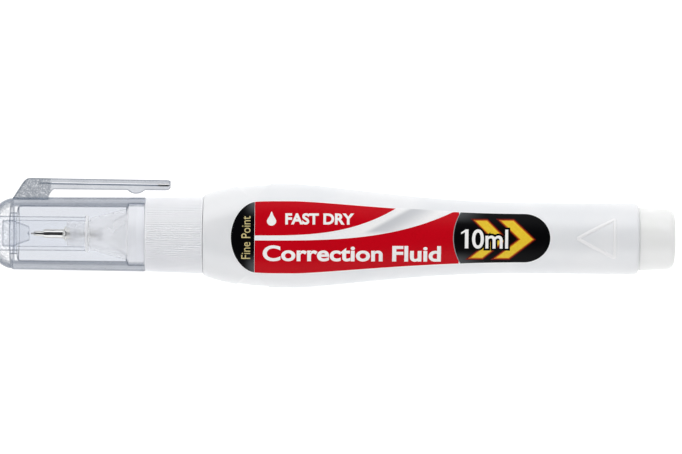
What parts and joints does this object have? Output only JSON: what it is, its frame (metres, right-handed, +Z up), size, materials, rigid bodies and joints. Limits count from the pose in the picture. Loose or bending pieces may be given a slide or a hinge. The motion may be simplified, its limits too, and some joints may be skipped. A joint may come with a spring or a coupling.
{
  "type": "correction pen",
  "caption": "Squeeze-bottle correction fluid pen with a sprung metal tip, a ribbed grip collar, and a clear push-on cap with a springy clip.",
  "frame": {"origin": "on the outer face of the back label, which the pen rests on, under the widest part of the bottle and under the pen's long axis", "axes": "+X along the pen from the tip towards the end plug, +Y towards the clip as the cap is put on, +Z up through the front label"},
  "size_m": [0.141, 0.0219, 0.0167],
  "materials": {
    "bottle_plastic": "satin white",
    "collar_plastic": "satin cool white",
    "natural_plastic": "satin, slightly see-through white",
    "valve_plastic": "satin",
    "label_film": "glossy printed film",
    "bright_metal": "polished",
    "plain_steel": "smooth drawn",
    "rubber": "matt",
    "pad_rubber": "soft, pale and cloudy",
    "clear_plastic": "clear and polished"
  },
  "bodies": {
    "pen": {"bottle": "bottle_plastic", "end_plug": "natural_plastic", "front_label": "label_film", "back_label": "label_film", "grip_collar": "collar_plastic", "neck_gasket": "rubber", "nozzle": "natural_plastic", "tip_ferrule": "bright_metal", "tip_tube": "bright_metal", "valve_seat": "valve_plastic", "spring_seat": "valve_plastic", "valve_spring": "plain_steel"},
    "valve": {"valve_pin": "plain_steel", "valve_plunger": "valve_plastic"},
    "ball": {"mixing_ball": "plain_steel"},
    "cap": {"cap_tube": "clear_plastic", "cap_nose": "clear_plastic", "seal_sleeve": "clear_plastic", "tip_pad": "pad_rubber"},
    "clip": {"cap_clip": "clear_plastic"}
  },
  "joints": [
    {"name": "cap_pull", "type": "slide", "parent": "pen", "child": "cap", "axis": [-1, 0, 0], "range_m": [0, 0.03]},
    {"name": "clip_flex", "type": "hinge", "parent": "cap", "child": "clip", "pos_m": [-0.05088, 0.0102, 0.00837], "axis": [0, 0, 1], "range_deg": [0, 6], "stiffness_Nm_per_rad": 0.8},
    {"name": "valve_press", "type": "slide", "parent": "pen", "child": "valve", "axis": [1, 0, 0], "range_m": [0, 0.0005], "stiffness_N_per_m": 300, "springref_m": -0.0005, "deforming": ["valve_spring"]},
    {"name": "ball_roll", "type": "slide", "parent": "pen", "child": "ball", "axis": [-1, 0, 0], "range_m": [-0.005, 0.06]}
  ]
}
